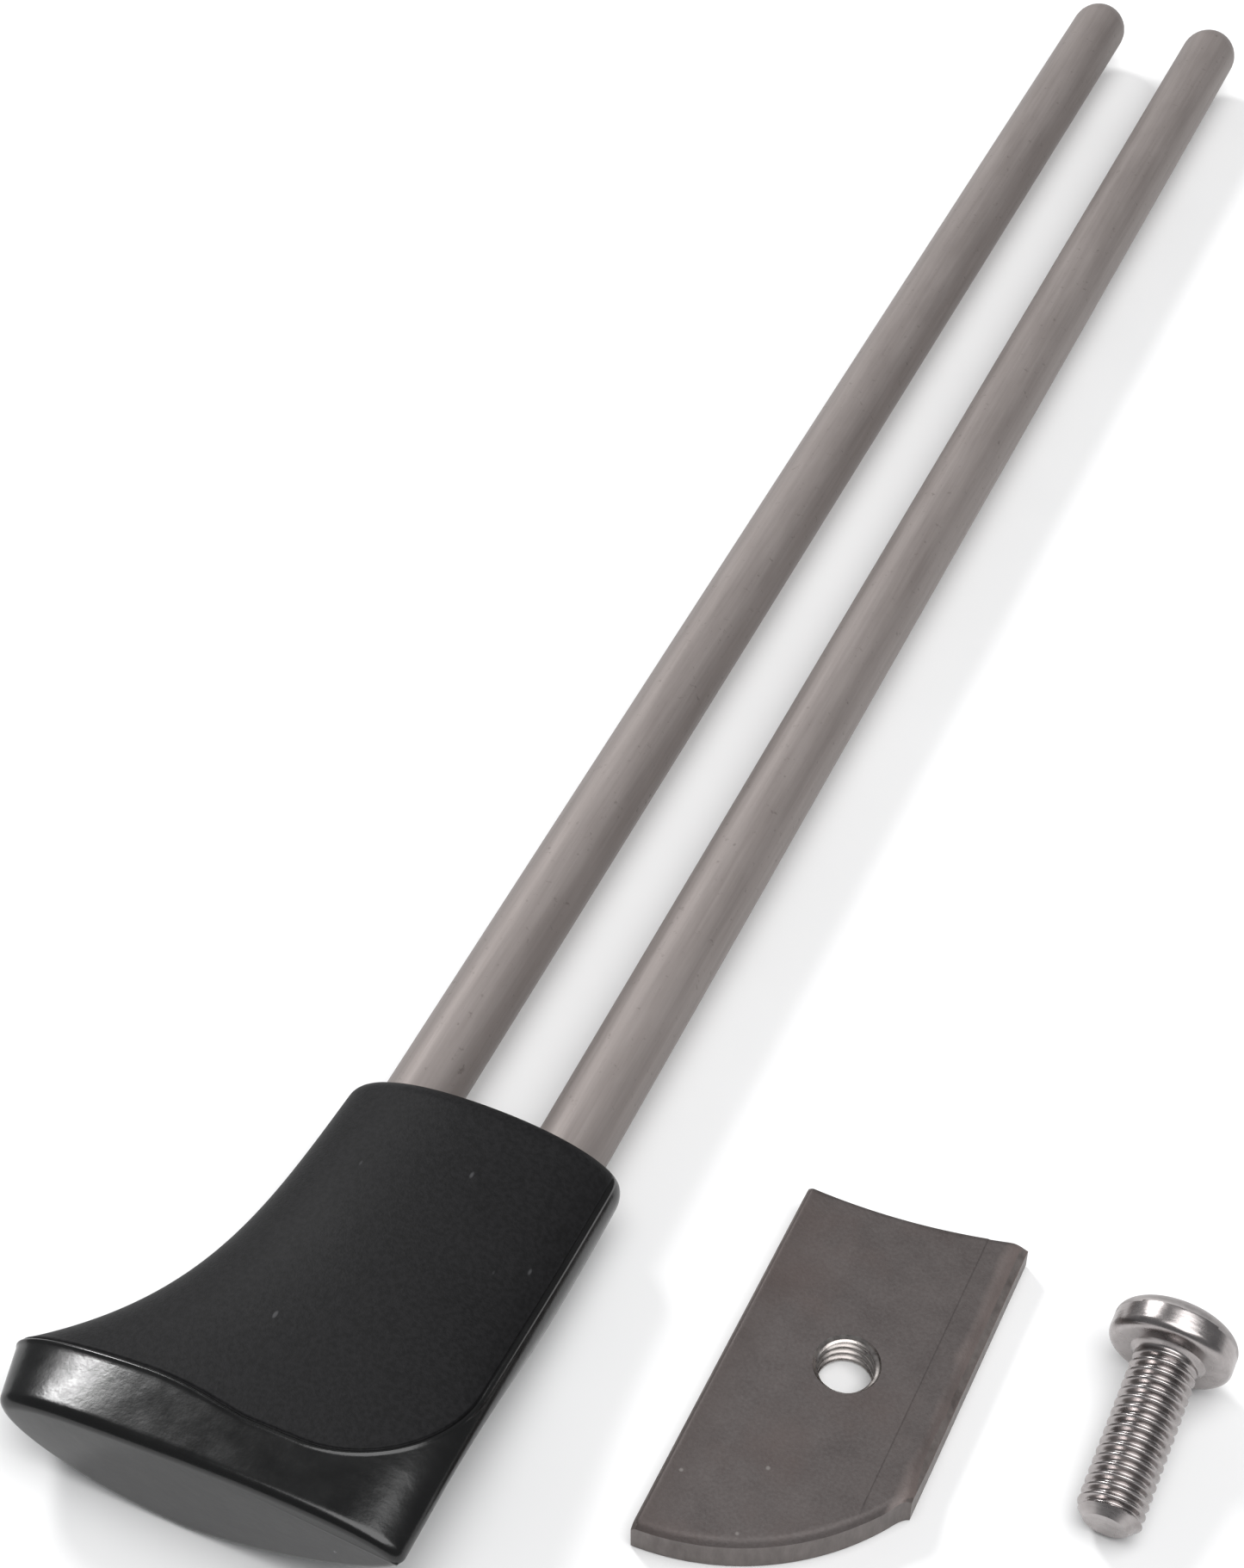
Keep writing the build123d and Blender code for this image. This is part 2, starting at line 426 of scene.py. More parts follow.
def head_pieces():
    rows, cover_rows = build_head()
    total_rows, cols = rows.shape[:2]
    last = cover_rows - 1

    # cover: the top columns, from the rod end to the front edge
    verts = [tuple(p) for p in rows[:cover_rows, : N_TOP + 1].reshape(-1, 3)]
    idx = np.arange(len(verts)).reshape(cover_rows, N_TOP + 1)
    faces = grid_faces(idx)
    loop = list(idx[0, :]) + list(idx[1:, -1]) + list(idx[-1, :-1][::-1]) + list(idx[1:-1, 0][::-1])
    close_over_split(verts, faces, [int(v) for v in loop])
    cover = make_object("Grip_cover", place_head(verts), faces)

    # core: the low columns beside the cover, then whole sections over the rim
    verts = [tuple(p) for p in rows.reshape(-1, 3)]
    idx = np.arange(len(verts)).reshape(total_rows, cols)
    low_cols = list(range(N_TOP, cols)) + [0]
    faces = grid_faces(idx[:cover_rows][:, low_cols])
    faces += grid_faces(idx[last:][:, list(range(cols)) + [0]])
    loop = [int(idx[0, j]) for j in low_cols]
    loop += [int(idx[i, 0]) for i in range(1, cover_rows)]
    loop += [int(idx[last, j]) for j in range(1, N_TOP + 1)]
    loop += [int(idx[i, N_TOP]) for i in range(last - 1, 0, -1)]
    close_over_split(verts, faces, loop)
    faces.append([int(v) for v in idx[-1]])
    used = sorted({v for f in faces for v in f})
    renumber = {v: k for k, v in enumerate(used)}
    faces = [[renumber[v] for v in f] for f in faces]
    core = make_object("Foot_core", place_head([verts[v] for v in used]), faces)
    return cover, core


cover, core = head_pieces()
for piece in (cover, core):
    mark_sharp(piece, 50)

# ---------------------------------------------------------------- thread

PITCH = 0.8
THREAD_R = 2.5
ROOT_R = 2.06
# the plate's thread is a little wider, and opens to a cone at the top
TAP_OUTER_R = 2.52
TAP_INNER_R = 2.1
TAP_MOUTH_R = 2.28
TAP_MOUTH_DEPTH = 0.30


def thread_radius(phase, outer, inner):
    """The radius of a rounded V thread, at a phase from 0 to 1 along one pitch."""
    tri = 1 - np.abs(2 * (phase % 1.0) - 1)
    flat = np.clip((tri - 0.12) / 0.74, 0, 1)
    soft = flat * flat * (3 - 2 * flat)
    return inner + (outer - inner) * (0.45 * flat + 0.55 * soft)


def lathe(radius_at, zs, steps):
    """A closed solid of revolution. radius_at(angles, z) may vary round the axis."""
    angles = np.linspace(0, 2 * math.pi, steps, endpoint=False)
    verts = []
    for z in zs:
        r = radius_at(angles, z)
        verts += [(float(rr * math.cos(a)), float(rr * math.sin(a)), float(z)) for rr, a in zip(r, angles)]
    idx = np.arange(len(verts)).reshape(len(zs), steps)
    idx = np.hstack([idx, idx[:, :1]])
    faces = grid_faces(idx)
    for row, z in ((idx[0, :-1], zs[0]), (idx[-1, :-1], zs[-1])):
        verts.append((0.0, 0.0, float(z)))
        middle = len(verts) - 1
        for k in range(steps):
            faces.append([middle, int(row[k]), int(row[(k + 1) % steps])])
    return verts, faces


# ---------------------------------------------------------------- the clamp plate

PLATE_T = 3.0
PL, PR = -8.85, 8.6
TOP_L, TOP_R = 13.75, 16.0
TOP_RAD = 50.0
HEEL_Y = -19.0
HEEL_RAD = 20.2
HORN = (7.5, -9.7)
HORN_TIP_Y = -8.5
PLATE_POS = (32.9, -6.2)
PLATE_TURN = math.radians(-0.7)
PLATE_AT = (MID_X + PLATE_POS[0] * MM, END_Y + PLATE_POS[1] * MM, 0)
# grid lines stand close together at the right edge and at the ends of each column
RIGHT_EDGE_LINES = (0, 0.02, 0.06, 0.12, 0.2, 0.3, 0.42, 0.56, 0.7, 0.84, 1.0, 1.15, 1.3, 1.5, 1.7)
COLUMN_START = (0, 0.0008, 0.002, 0.004, 0.007, 0.011, 0.016, 0.022)
COLUMN_END = (0.99, 0.994, 0.997, 1.0)


def arc_centre(a, b, radius, side):
    """Centre of the circle through a and b, on the asked side of the line from a to b."""
    mx, my = (a[0] + b[0]) / 2, (a[1] + b[1]) / 2
    dx, dy = b[0] - a[0], b[1] - a[1]
    half = math.hypot(dx, dy) / 2
    h = math.sqrt(radius**2 - half**2)
    nx, ny = -dy / (2 * half), dx / (2 * half)
    return mx + side * nx * h, my + side * ny * h


# the top edge is hollow, so its centre is above; the heel bulges down, so its centre is above it too
TOP_C = arc_centre((PL, TOP_L), (PR, TOP_R), TOP_RAD, 1)
HEEL_C = arc_centre((PL, HEEL_Y), HORN, HEEL_RAD, 1)


def plate_low(x):
    if x <= HORN[0]:
        return HEEL_C[1] - math.sqrt(HEEL_RAD**2 - (x - HEEL_C[0]) ** 2)
    # a small hollow runs out to a sharp tip
    u = (x - HORN[0]) / (PR - HORN[0])
    return HORN[1] + (HORN_TIP_Y - HORN[1]) * (1 - (1 - u) ** 1.6)


def plate_high(x):
    return TOP_C[1] - math.sqrt(TOP_RAD**2 - (x - TOP_C[0]) ** 2)


def plate_top_z(x, y, low, high):
    z = PLATE_T
    # rounded long edges, the right one broad but narrowing to the horn
    right = PR - x
    near_horn = smooth(y, -8.5, -4.5)
    wide = 0.90 + 0.70 * near_horn
    z -= (0.7 + 0.45 * near_horn) * (1 - smooth(right, -0.55, wide)) ** 1.5
    left = x - PL
    z -= 0.42 * (1 - smooth(left, -0.25, 0.45))
    # die roll along the heel, a little along the hollow top edge
    away = HEEL_RAD - math.hypot(x - HEEL_C[0], y - HEEL_C[1]) if y < HEEL_C[1] else 9.0
    z -= 0.55 * (1 - smooth(away, -0.35, 0.75)) ** 1.3 * (1 - smooth(x, 7.0, 8.2))
    z -= 0.12 * (1 - smooth(y - low, -0.1, 0.4)) * smooth(x, 7.0, 8.2)
    z -= 0.10 * (1 - smooth(high - y, -0.05, 0.28))
    # pressed step line near the right edge
    z -= 0.07 * smooth(x, 5.52, 5.66) * smooth(y, -11.4, -10.2)
    # a softer one on the left
    z -= 0.022 * (1 - smooth(x, -5.80, -5.00)) * (1 - 0.75 * smooth(y, -3.0, 9.0))
    # rolled surface: a slight waviness
    z += 0.008 * math.sin(x * 0.9 + 0.6 * math.sin(y * 0.31)) * math.sin(y * 0.37 + 1.1)
    return z


def build_plate():
    xs = set(np.round(np.linspace(PL, PR, 86), 4))
    for mid in (-5.4, 5.59):
        xs |= set(np.round(mid + np.array([-0.24, -0.12, -0.05, 0.0, 0.05, 0.12, 0.24]), 4))
    xs |= set(np.round(PL + np.array([0, 0.03, 0.08, 0.15, 0.25, 0.36]), 4))
    xs |= set(np.round(PR - np.array(RIGHT_EDGE_LINES), 4))
    xs |= set(np.round(HORN[0] + np.array([-0.1, 0.0, 0.15, 0.3, 0.45, 0.6, 0.75]), 4))
    xs = np.array(sorted(xs))
    ts = np.concatenate([COLUMN_START, np.linspace(0.03, 0.985, 120), COLUMN_END])
    top, bottom = [], []
    for x in xs:
        low, high = plate_low(x), plate_high(x)
        for t in ts:
            y = low + (high - low) * t
            top.append((x, y, plate_top_z(x, y, low, high)))
            near = min(x - PL, PR - x, y - low, high - y)
            bottom.append((x, y, 0.12 * (1 - smooth(near, -0.1, 0.2))))
    n, m = len(xs), len(ts)
    verts = top + bottom
    up = np.arange(n * m).reshape(n, m)
    dn = up + n * m
    faces = grid_faces(up) + grid_faces(dn[:, ::-1])
    ring = [(0, j) for j in range(m)] + [(i, m - 1) for i in range(1, n)]
    ring += [(n - 1, j) for j in range(m - 2, -1, -1)] + [(i, 0) for i in range(n - 2, 0, -1)]
    # the plate's edge runs straight down, in five strips
    levels = []
    for i, j in ring:
        a = verts[up[i, j]]
        b = verts[dn[i, j]]
        mids = []
        for share in (0.2, 0.4, 0.6, 0.8):
            z = a[2] + (b[2] - a[2]) * share
            mids.append(len(verts))
            verts.append((a[0], a[1], z))
        levels.append([int(up[i, j])] + mids + [int(dn[i, j])])
    count = len(ring)
    for k in range(count):
        one, two = levels[k], levels[(k + 1) % count]
        for q in range(len(one) - 1):
            faces.append([one[q], two[q], two[q + 1], one[q + 1]])
    obj = make_object("Clamp_plate", np.array(verts) * MM, faces)

    def tap(angles, z):
        r = thread_radius(z / PITCH - angles / (2 * math.pi), TAP_OUTER_R, TAP_INNER_R)
        mouth = max(0.0, z - (PLATE_T - TAP_MOUTH_DEPTH))
        return np.maximum(r, TAP_MOUTH_R + mouth) if mouth > 0 else r

    zs = np.linspace(-0.6, PLATE_T + 0.6, 106)
    cv, cf = lathe(tap, zs, 96)
    cutter = make_object("cutter", np.array(cv) * MM, cf)
    cut_away(obj, cutter)
    remove(cutter)
    turn = Matrix.Translation(PLATE_AT) @ Matrix.Rotation(PLATE_TURN, 4, "Z")
    obj.data.transform(turn)
    obj.data.polygons.foreach_set("use_smooth", [True] * len(obj.data.polygons))
    mark_sharp(obj, 38)
    return obj


plate = build_plate()

# ---------------------------------------------------------------- the clamp screw

SCREW_L = 14.0
HEAD_R = 4.75
HEAD_H = 3.7
SKIRT = 1.9
RIM_ROUND = 0.7
TIP = 0.8
SHANK_R = 2.42
NECK_GROWTH = 0.48
# where the CAD screw's rim touches, above the head's underside; it sets how far the screw leans
REST_RIM_Z = 0.6
# the cross recess: height, half length and half width of a slot, from above the crown to its floor
SLOT_LEVELS = (
    (HEAD_H + 1.0, 2.55, 0.62),
    (HEAD_H - 0.2, 2.4, 0.58),
    (HEAD_H - 2.0, 1.0, 0.42),
)


def head_profile():
    """Radius and height up the head, from the underside to the crown."""
    pts = [(2.9, 0.0), (3.6, 0.0), (HEAD_R - RIM_ROUND - 0.1, 0.0)]
    for a in np.linspace(0, math.pi / 2, 10):
        pts.append((HEAD_R - RIM_ROUND + RIM_ROUND * math.sin(a), RIM_ROUND - RIM_ROUND * math.cos(a)))
    pts.append((HEAD_R, SKIRT - 0.25))
    for a in np.linspace(0, math.pi / 2, 22)[:-1]:
        r = HEAD_R * math.cos(a) ** 0.82
        pts.append((min(r, HEAD_R), SKIRT + (HEAD_H - SKIRT) * math.sin(a)))
    return pts


def build_screw():
    prof = head_profile()
    zs = list(np.linspace(-SCREW_L, -0.45, 330)) + [-0.38, -0.3, -0.2, -0.1]
    steps = 96
    angles = np.linspace(0, 2 * math.pi, steps, endpoint=False)
    rings = []
    for z in zs:
        if z <= -0.42:
            r = thread_radius(z / PITCH - angles / (2 * math.pi), THREAD_R, ROOT_R)
            tip = THREAD_R - TIP + (z + SCREW_L)
            r = np.minimum(r, tip)
            run_out = smooth(z, -1.15, -0.5)
            r = r + (SHANK_R - r) * run_out
        else:
            r = np.full(steps, SHANK_R + NECK_GROWTH * smooth(z, -0.42, 0.0) ** 1.5)
        rings.append((r, z))
    for r, z in prof:
        rings.append((np.full(steps, r), z))
    verts = []
    for r, z in rings:
        verts += [(float(rr * math.cos(a)), float(rr * math.sin(a)), float(z)) for rr, a in zip(r, angles)]
    idx = np.arange(len(verts)).reshape(len(rings), steps)
    idx = np.hstack([idx, idx[:, :1]])
    faces = grid_faces(idx)
    for row, z in ((idx[0, :-1], -SCREW_L + 0.05), (idx[-1, :-1], HEAD_H)):
        verts.append((0.0, 0.0, float(z)))
        middle = len(verts) - 1
        for k in range(steps):
            faces.append([middle, int(row[k]), int(row[(k + 1) % steps])])
    obj = make_object("Clamp_screw", np.array(verts) * MM, faces)

    # cross recess: two tapered slots at right angles
    for crossways in (False, True):
        cv = []
        for z, long, wide in SLOT_LEVELS:
            for sx, sy in ((-1, -1), (1, -1), (1, 1), (-1, 1)):
                x, y = sx * long, sy * wide
                cv.append((-y, x, z) if crossways else (x, y, z))
        cf = []
        for level in (0, 4):
            for k in range(4):
                a = level + k
                b = level + (k + 1) % 4
                cf.append([a, b, b + 4, a + 4])
        cf += [[0, 1, 2, 3], [8, 9, 10, 11]]
        cutter = make_object("cutter", np.array(cv) * MM, cf)
        cut_away(obj, cutter)
        remove(cutter)

    # lean it like the CAD's screw, which lies on its head's rim and its last thread
    tip_z = -SCREW_L + TIP
    lean = math.asin((HEAD_R - THREAD_R) / (REST_RIM_Z - tip_z))
    obj.data.transform(Matrix.Rotation(-math.pi / 2 + lean, 4, "X"))
    co = np.array([v.co for v in obj.data.vertices])
    lo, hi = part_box("clamp_screw")
    shift = Vector(((lo.x + hi.x) / 2 - (co[:, 0].min() + co[:, 0].max()) / 2,
                    (lo.y + hi.y) / 2 - (co[:, 1].min() + co[:, 1].max()) / 2,
                    -co[:, 2].min()))
    obj.data.transform(Matrix.Translation(shift))
    obj.data.polygons.foreach_set("use_smooth", [True] * len(obj.data.polygons))
    mark_sharp(obj, 42)
    return obj


screw = build_screw()

# ---------------------------------------------------------------- materials


def new_material(name):
    mat = bpy.data.materials.new(name)
    mat.use_nodes = True
    nt = mat.node_tree
    nt.nodes.clear()
    out = nt.nodes.new("ShaderNodeOutputMaterial")
    shader = nt.nodes.new("ShaderNodeBsdfPrincipled")
    nt.links.new(shader.outputs[0], out.inputs[0])
    coords = nt.nodes.new("ShaderNodeTexCoord")
    return mat, nt, shader, coords.outputs["Object"]


def mapped(nt, coords, scale):
    m = nt.nodes.new("ShaderNodeMapping")
    m.inputs["Scale"].default_value = scale
    nt.links.new(coords, m.inputs["Vector"])
    return m.outputs[0]


def noise(nt, vector, scale, detail=4.0, rough=0.55):
    n = nt.nodes.new("ShaderNodeTexNoise")
    n.inputs["Scale"].default_value = scale
    n.inputs["Detail"].default_value = detail
    n.inputs["Roughness"].default_value = rough
    nt.links.new(vector, n.inputs["Vector"])
    return n.outputs["Fac"]


def ramp(nt, fac, stops):
    r = nt.nodes.new("ShaderNodeValToRGB")
    el = r.color_ramp.elements
    while len(el) < len(stops):
        el.new(0.5)
    for e, (pos, col) in zip(el, stops):
        e.position = pos
        e.color = (*col, 1) if len(col) == 3 else col
    nt.links.new(fac, r.inputs[0])
    return r.outputs[0]


def grey(v):
    return (v, v, v)


def mix(nt, fac, a, b):
    m = nt.nodes.new("ShaderNodeMix")
    m.data_type = "RGBA"
    if isinstance(fac, float):
        m.inputs[0].default_value = fac
    else:
        nt.links.new(fac, m.inputs[0])
    for value, socket in ((a, m.inputs[6]), (b, m.inputs[7])):
        if isinstance(value, tuple):
            socket.default_value = (*value, 1)
        else:
            nt.links.new(value, socket)
    return m.outputs[2]


def math_node(nt, op, a, b, clamp=False):
    m = nt.nodes.new("ShaderNodeMath")
    m.operation = op
    m.use_clamp = clamp
    for value, socket in ((a, m.inputs[0]), (b, m.inputs[1])):
        if isinstance(value, (int, float)):
            socket.default_value = value
        else:
            nt.links.new(value, socket)
    return m.outputs[0]


def bump(nt, shader, height, distance, strength=1.0):
    b = nt.nodes.new("ShaderNodeBump")
    b.inputs["Distance"].default_value = distance
    b.inputs["Strength"].default_value = strength
    nt.links.new(height, b.inputs["Height"])
    nt.links.new(b.outputs[0], shader.inputs["Normal"])


def set_material(obj, mat):
    obj.data.materials.clear()
    obj.data.materials.append(mat)


def specks(nt, co, scale, size, rarity):
    """A mask of sparse small dots."""
    dots = nt.nodes.new("ShaderNodeTexVoronoi")
    dots.inputs["Scale"].default_value = scale
    nt.links.new(co, dots.inputs["Vector"])
    near = ramp(nt, dots.outputs["Distance"], [(size, grey(1)), (size * 1.8, grey(0))])
    pick = nt.nodes.new("ShaderNodeSeparateColor")
    nt.links.new(dots.outputs["Color"], pick.inputs[0])
    rare = math_node(nt, "GREATER_THAN", pick.outputs[0], rarity)
    return math_node(nt, "MULTIPLY", near, rare)


def matt_black():
    mat, nt, sh, co = new_material("matt_black_moulding")
    grain = noise(nt, co, 5200, 3, 0.6)
    blotch = noise(nt, co, 90, 4, 0.6)
    base = ramp(nt, blotch, [(0.3, (0.0060, 0.0060, 0.0066)), (0.7, (0.0095, 0.0094, 0.0102))])
    fine = noise(nt, co, 2600, 2, 0.5)
    base = mix(nt, 0.4, base, ramp(nt, fine, [(0.35, grey(0.0035)), (0.65, (0.0165, 0.0160, 0.0170))]))
    dust = specks(nt, co, 620, 0.05, 0.955)
    base = mix(nt, math_node(nt, "MULTIPLY", dust, 0.6), base, (0.14, 0.14, 0.14))
    lint = specks(nt, mapped(nt, co, (1.0, 0.45, 1.0)), 950, 0.10, 0.965)
    base = mix(nt, math_node(nt, "MULTIPLY", lint, 0.5), base, (0.10, 0.10, 0.105))
    nt.links.new(base, sh.inputs["Base Color"])
    rough = ramp(nt, blotch, [(0.3, grey(0.50)), (0.7, grey(0.58))])
    nt.links.new(rough, sh.inputs["Roughness"])
    sh.inputs["Specular IOR Level"].default_value = 0.14
    bump(nt, sh, grain, 0.00005, 0.7)
    return mat


def gloss_black():
    mat, nt, sh, co = new_material("gloss_black_moulding")
    blotch = noise(nt, co, 160, 5, 0.6)
    base = ramp(nt, blotch, [(0.3, grey(0.0032)), (0.7, grey(0.0055))])
    streak = noise(nt, mapped(nt, co, (120, 900, 900)), 1.0, 5, 0.65)
    scuff = ramp(nt, streak, [(0.58, grey(0)), (0.76, grey(1))])
    base = mix(nt, math_node(nt, "MULTIPLY", scuff, 0.25), base, (0.020, 0.020, 0.020))
    base = mix(nt, specks(nt, co, 620, 0.07, 0.95), base, (0.12, 0.12, 0.12))
    nt.links.new(base, sh.inputs["Base Color"])
    mottled = noise(nt, co, 520, 4, 0.6)
    rough = ramp(nt, mottled, [(0.3, grey(0.18)), (0.7, grey(0.26))])
    nt.links.new(rough, sh.inputs["Roughness"])
    sh.inputs["Specular IOR Level"].default_value = 0.5
    orange = noise(nt, co, 750, 3, 0.5)
    fine = noise(nt, co, 4200, 2, 0.5)
    height = math_node(nt, "ADD", orange, math_node(nt, "MULTIPLY", fine, 0.2))
    bump(nt, sh, height, 0.00005, 0.35)
    return mat


def rod_steel():
    mat, nt, sh, co = new_material("drawn_steel")
    draw = noise(nt, mapped(nt, co, (1.0, 0.03, 1.0)), 2600, 5, 0.65)
    cloud = noise(nt, mapped(nt, co, (1.0, 0.25, 1.0)), 260, 5, 0.6)
    base = ramp(nt, cloud, [(0.25, (0.225, 0.196, 0.185)), (0.75, (0.290, 0.258, 0.246))])
    base = mix(nt, 0.22, base, ramp(nt, draw, [(0.3, (0.15, 0.127, 0.118)), (0.7, (0.36, 0.328, 0.315))]))
    pits = noise(nt, co, 1500, 3, 0.6)
    pit = ramp(nt, pits, [(0.64, grey(0)), (0.76, grey(1))])
    base = mix(nt, math_node(nt, "MULTIPLY", pit, 0.5), base, (0.08, 0.062, 0.054))
    nt.links.new(base, sh.inputs["Base Color"])
    sh.inputs["Metallic"].default_value = 0.4
    rough = ramp(nt, cloud, [(0.3, grey(0.50)), (0.7, grey(0.62))])
    nt.links.new(rough, sh.inputs["Roughness"])
    height = math_node(nt, "ADD", draw, math_node(nt, "MULTIPLY", pits, -0.6))
    bump(nt, sh, height, 0.00003, 0.5)
    return mat


def band(nt, coordinate, start, end):
    """0 before start and 1 past end along one coordinate, whichever of the two is greater."""
    moved = math_node(nt, "SUBTRACT", coordinate, start)
    return math_node(nt, "DIVIDE", moved, end - start, True)


def plate_steel():
    mat, nt, sh, co = new_material("oxidised_steel")
    apart = nt.nodes.new("ShaderNodeSeparateXYZ")
    wander = noise(nt, co, 260, 4, 0.6)
    nt.links.new(co, apart.inputs[0])
    middle = PLATE_AT[0]
    across = math_node(nt, "ADD", apart.outputs[0], math_node(nt, "MULTIPLY", wander, 0.0016))
    left_edge_band = band(nt, across, middle - 5.2 * MM, middle - 7.6 * MM)
    right_edge_band = band(nt, across, middle + 7.9 * MM, middle + 9.0 * MM)
    cloud = noise(nt, co, 280, 5, 0.6)
    base = ramp(nt, cloud, [(0.28, (0.075, 0.061, 0.059)), (0.72, (0.103, 0.086, 0.083))])
    grain = noise(nt, co, 3600, 4, 0.65)
    base = mix(nt, 0.3, base, ramp(nt, grain, [(0.3, (0.045, 0.040, 0.038)), (0.7, (0.125, 0.118, 0.115))]))
    stain = noise(nt, co, 110, 4, 0.6)
    warm = ramp(nt, stain, [(0.5, grey(0)), (0.7, grey(1))])
    base = mix(nt, math_node(nt, "MULTIPLY", warm, 0.45), base, (0.092, 0.066, 0.060))
    base = mix(nt, math_node(nt, "MULTIPLY", left_edge_band, 0.5), base, (0.070, 0.055, 0.051))
    base = mix(nt, math_node(nt, "MULTIPLY", right_edge_band, 0.65), base, (0.230, 0.185, 0.172))
    dust = specks(nt, co, 700, 0.08, 0.95)
    base = mix(nt, math_node(nt, "MULTIPLY", dust, 0.6), base, (0.24, 0.225, 0.215))
    nt.links.new(base, sh.inputs["Base Color"])
    sh.inputs["Metallic"].default_value = 0.45
    rough = ramp(nt, cloud, [(0.3, grey(0.46)), (0.7, grey(0.58))])
    nt.links.new(rough, sh.inputs["Roughness"])
    bump(nt, sh, grain, 0.00004, 0.6)
    return mat


def sheared_steel():
    mat, nt, sh, co = new_material("sheared_steel_edge")
    bands = noise(nt, mapped(nt, co, (1.0, 1.0, 0.25)), 1500, 5, 0.65)
    cloud = noise(nt, co, 320, 4, 0.6)
    base = ramp(nt, bands, [(0.3, (0.105, 0.088, 0.082)), (0.7, (0.235, 0.205, 0.195))])
    base = mix(nt, 0.5, base, ramp(nt, cloud, [(0.3, (0.09, 0.075, 0.070)), (0.7, (0.21, 0.19, 0.18))]))
    nt.links.new(base, sh.inputs["Base Color"])
    sh.inputs["Metallic"].default_value = 0.5
    rough = ramp(nt, cloud, [(0.3, grey(0.38)), (0.7, grey(0.55))])
    nt.links.new(rough, sh.inputs["Roughness"])
    bump(nt, sh, bands, 0.00006, 0.7)
    return mat


def thread_steel():
    mat, nt, sh, co = new_material("cut_thread_steel")
    n = noise(nt, co, 1400, 4, 0.6)
    base = ramp(nt, n, [(0.3, (0.26, 0.235, 0.225)), (0.7, (0.46, 0.43, 0.41))])
    nt.links.new(base, sh.inputs["Base Color"])
    sh.inputs["Metallic"].default_value = 1.0
    rough = ramp(nt, n, [(0.3, grey(0.24)), (0.7, grey(0.36))])
    nt.links.new(rough, sh.inputs["Roughness"])
    bump(nt, sh, n, 0.00002, 0.5)
    return mat


def screw_steel():
    mat, nt, sh, co = new_material("bright_stainless")
    n = noise(nt, co, 700, 5, 0.6)
    base = ramp(nt, n, [(0.3, (0.33, 0.305, 0.30)), (0.7, (0.44, 0.41, 0.405))])
    fine = noise(nt, mapped(nt, co, (1.0, 6.0, 1.0)), 900, 4, 0.6)
    base = mix(nt, 0.25, base, ramp(nt, fine, [(0.3, (0.24, 0.22, 0.215)), (0.7, (0.52, 0.49, 0.485))]))
    nt.links.new(base, sh.inputs["Base Color"])
    sh.inputs["Metallic"].default_value = 1.0
    rough = ramp(nt, n, [(0.3, grey(0.22)), (0.7, grey(0.34))])
    nt.links.new(rough, sh.inputs["Roughness"])
    bump(nt, sh, fine, 0.00002, 0.5)
    return mat


def crown_steel():
    mat, nt, sh, co = new_material("matt_stainless_crown")
    n = noise(nt, co, 1300, 5, 0.65)
    base = ramp(nt, n, [(0.3, (0.36, 0.335, 0.33)), (0.7, (0.48, 0.455, 0.45))])
    nt.links.new(base, sh.inputs["Base Color"])
    sh.inputs["Metallic"].default_value = 0.8
    rough = ramp(nt, n, [(0.3, grey(0.50)), (0.7, grey(0.62))])
    nt.links.new(rough, sh.inputs["Roughness"])
    bump(nt, sh, n, 0.00003, 0.6)
    return mat


set_material(cover, matt_black())
set_material(core, gloss_black())
rod_finish = rod_steel()
for name in ("rod_left", "rod_right"):
    set_material(nodes[name], rod_finish)

set_material(plate, plate_steel())
plate.data.materials.append(thread_steel())
plate.data.materials.append(sheared_steel())
hole = Vector(PLATE_AT)
# the thread's faces lie within this of the hole's axis
THREAD_FACES_R = 2.62
for p in plate.data.polygons:
    c = p.center
    from_hole = math.hypot(c.x - hole.x, c.y - hole.y)
    inside = c.z > 0.1 * MM and c.z < 2.85 * MM
    if from_hole < THREAD_FACES_R * MM and (abs(p.normal.z) < 0.93 or inside):
        p.material_index = 1
    elif from_hole > 4 * MM and abs(p.normal.z) < 0.75:
        p.material_index = 2

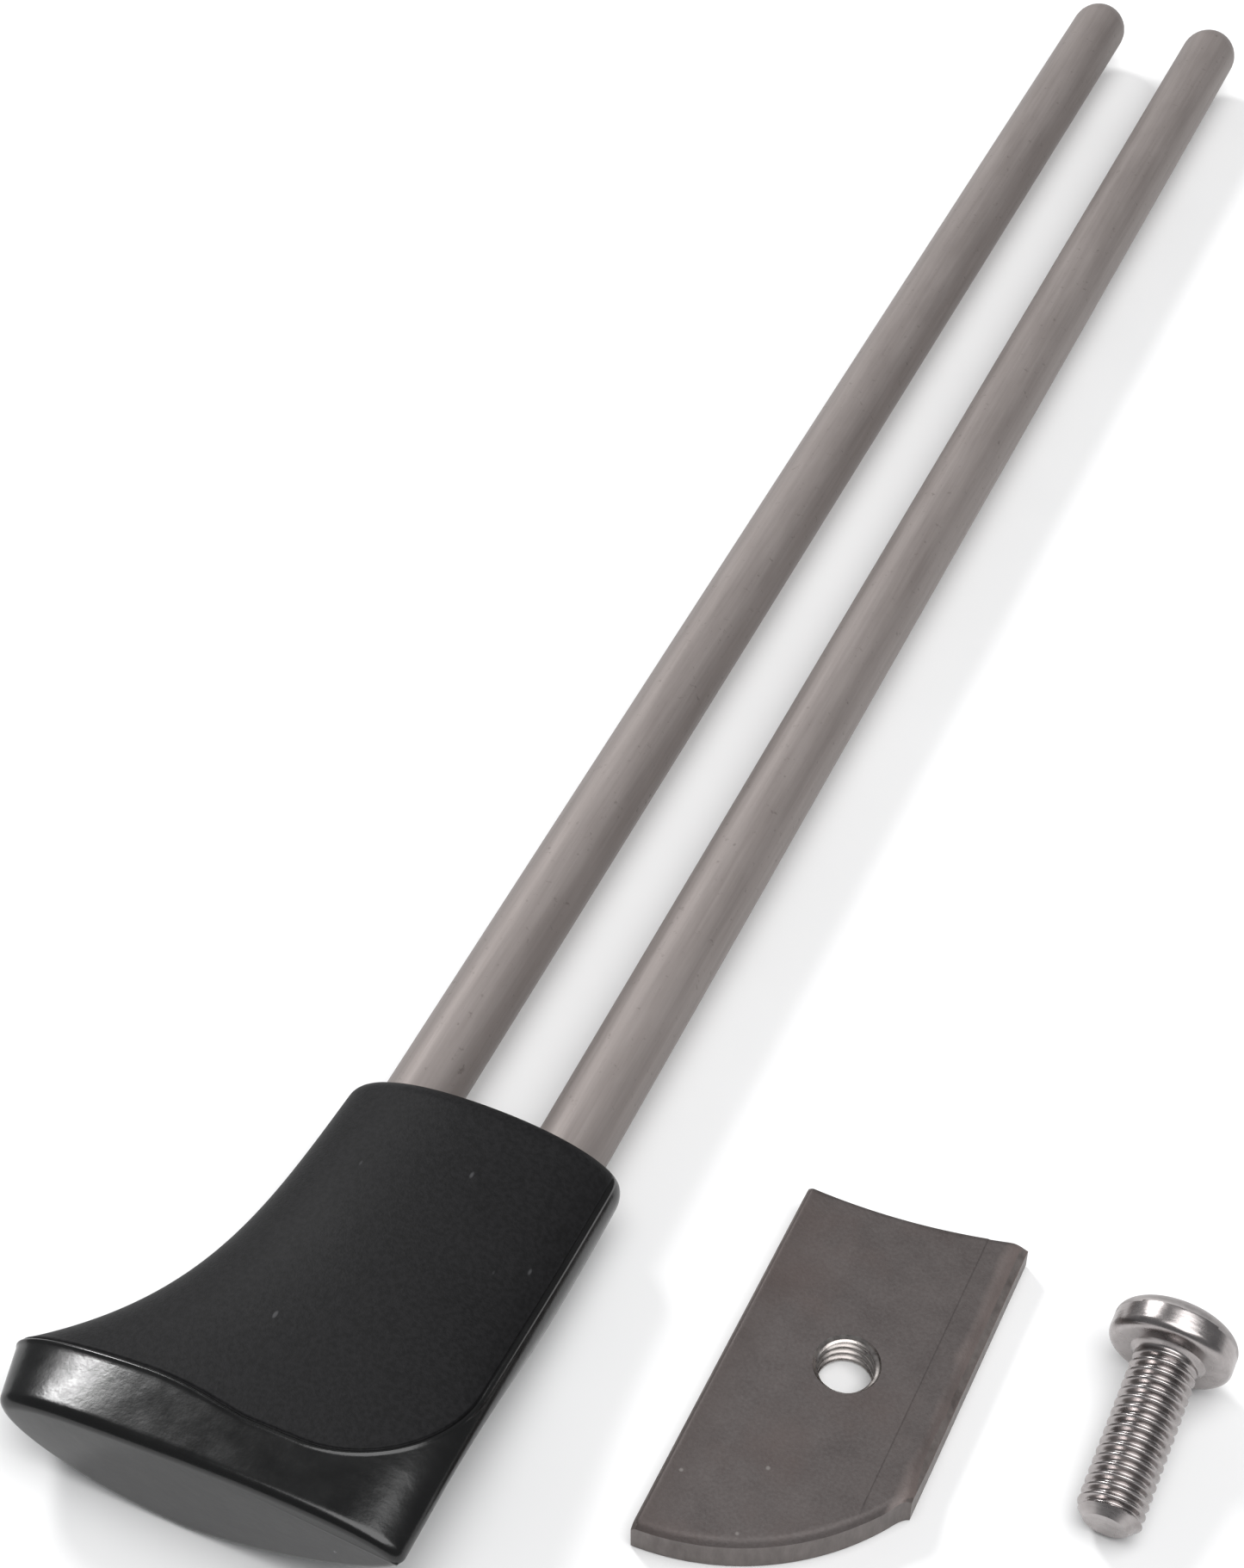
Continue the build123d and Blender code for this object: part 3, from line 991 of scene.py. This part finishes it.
set_material(screw, screw_steel())
screw.data.materials.append(crown_steel())
crown_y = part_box("clamp_screw")[1].y - 2.6 * MM
for p in screw.data.polygons:
    if p.center.y > crown_y and p.normal.y > -0.05:
        p.material_index = 1

# ---------------------------------------------------------------- the frame

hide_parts("grip_cover")
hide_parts("foot_core")
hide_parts("clamp_plate")
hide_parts("clamp_screw")
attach(cover, "head")
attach(core, "head")
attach(plate, "plate")
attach(screw, "screw")

# ---------------------------------------------------------------- floor, light and camera


def floor_material():
    mat, nt, sh, co = new_material("pale_floor")
    n = noise(nt, co, 40, 3, 0.5)
    base = ramp(nt, n, [(0.3, grey(0.90)), (0.7, grey(0.93))])
    nt.links.new(base, sh.inputs["Base Color"])
    sh.inputs["Roughness"].default_value = 0.9
    return mat


bpy.ops.mesh.primitive_plane_add(size=6, location=(0, 0, 0))
floor = bpy.context.object
floor.name = "Floor"
set_material(floor, floor_material())

world = bpy.data.worlds.new("studio")
world.use_nodes = True
world.node_tree.nodes["Background"].inputs[0].default_value = (0.95, 0.97, 1.0, 1)
world.node_tree.nodes["Background"].inputs[1].default_value = 0.22
bpy.context.scene.world = world


def area_light(name, location, target, size, power):
    data = bpy.data.lights.new(name, "AREA")
    data.shape = "RECTANGLE"
    data.size = size[0]
    data.size_y = size[1]
    data.energy = power
    obj = bpy.data.objects.new(name, data)
    bpy.context.scene.collection.objects.link(obj)
    obj.location = location
    obj.rotation_euler = (Vector(target) - Vector(location)).to_track_quat("-Z", "Y").to_euler()


area_light("Top", (0.22, -0.16, 0.95), (0, 0, 0), (0.9, 0.85), 9.5)
area_light("Key", (-0.66, 0.36, 0.60), (-0.03, -0.08, 0), (0.20, 0.20), 4.6)

camera_data = bpy.data.cameras.new("Camera")
camera_data.lens = 68.96
camera_data.sensor_width = 36.0
camera_data.clip_start = 0.01
camera = bpy.data.objects.new("Camera", camera_data)
bpy.context.scene.collection.objects.link(camera)
camera.location = (MID_X + 0.06885, END_Y - 0.12465, 0.1952)
camera.rotation_euler = (math.radians(43.47), 0, math.radians(24.66))
bpy.context.scene.camera = camera
bpy.context.scene.view_settings.view_transform = "Standard"
